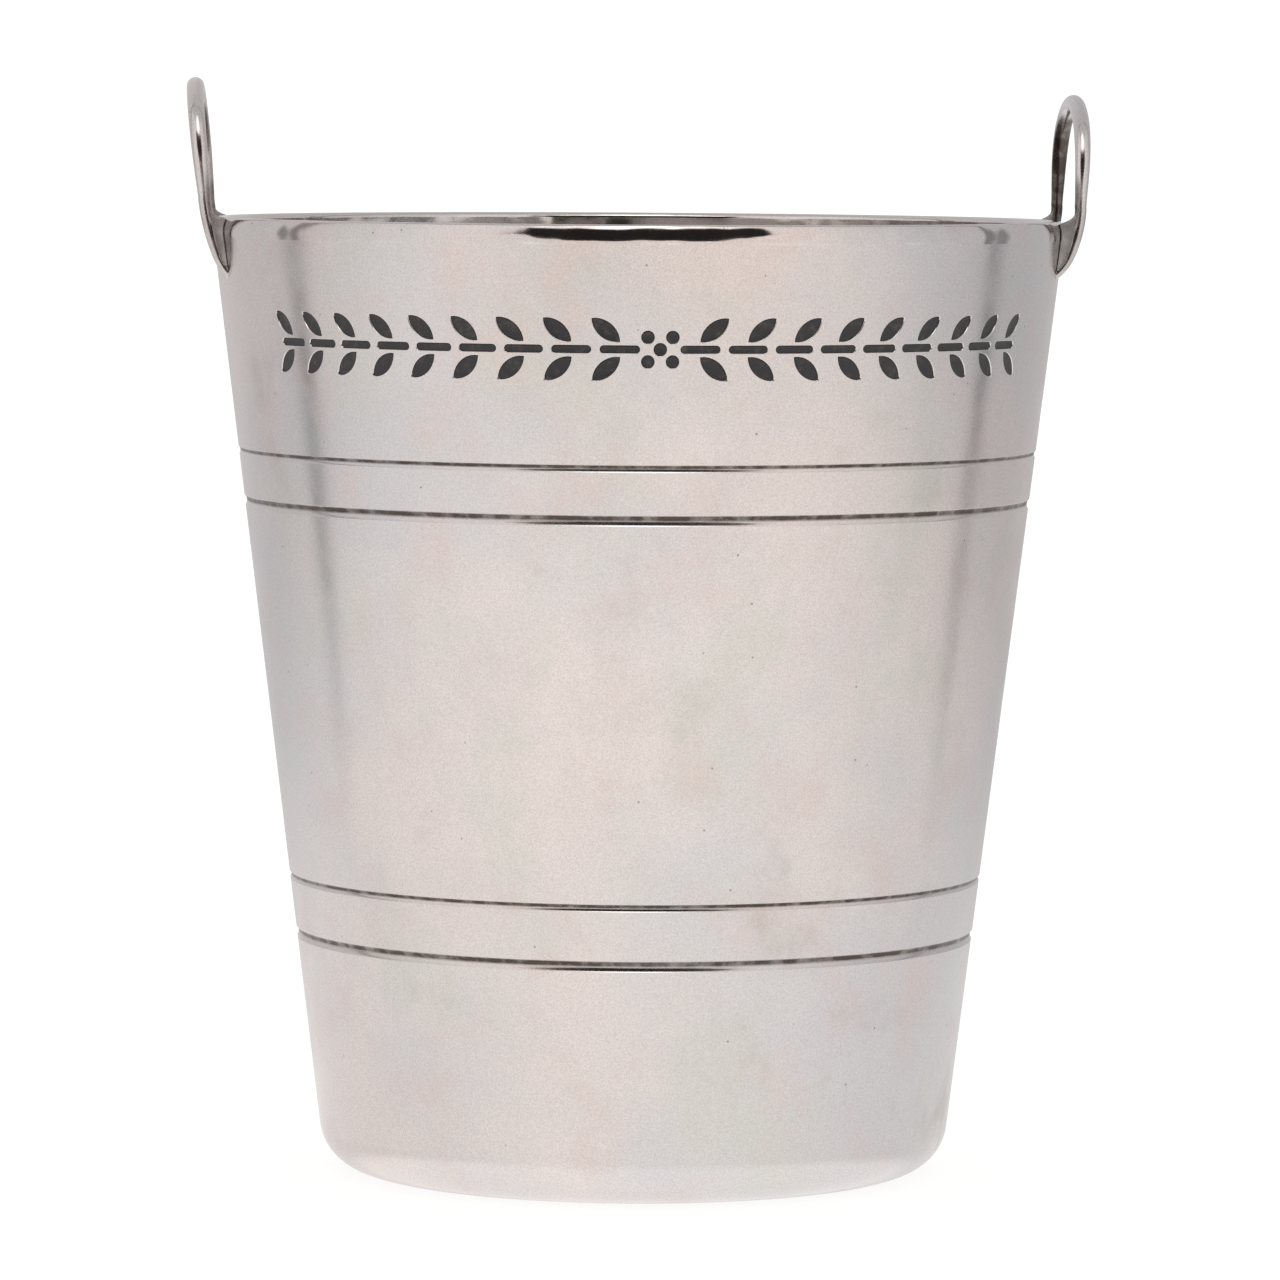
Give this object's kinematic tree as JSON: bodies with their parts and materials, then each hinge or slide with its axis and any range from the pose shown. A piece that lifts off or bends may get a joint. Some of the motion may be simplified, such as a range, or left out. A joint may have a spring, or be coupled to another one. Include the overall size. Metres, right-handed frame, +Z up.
{
  "type": "champagne bucket",
  "caption": "Flared silver bucket with turned grooves, an engraved leaf garland and fixed wire loops at the rim.",
  "frame": {"origin": "centre of the flat base, on the surface that the bucket stands on", "axes": "+Z up the bucket's axis, -Y towards the engraved garland, +X and -X towards the two loops"},
  "size_m": [0.21, 0.1991, 0.2559],
  "materials": {
    "silver_body": "polished silver, lightly tarnished, with fine pits and rubbing marks",
    "silver_rim": "polished silver, brightest on the crest of the lip",
    "silver_wire": "polished silver wire with brown tarnish near its feet",
    "solder": "dull, dark tarnished solder",
    "black_fill": "matt black filler in the engraving"
  },
  "bodies": {
    "root": {"bucket_body": "silver_body", "rim_ring": "silver_rim", "garland_fill": "black_fill", "left_loop_handle": "silver_wire", "right_loop_handle": "silver_wire", "left_front_solder": "solder", "left_rear_solder": "solder", "right_front_solder": "solder", "right_rear_solder": "solder"}
  },
  "joints": []
}
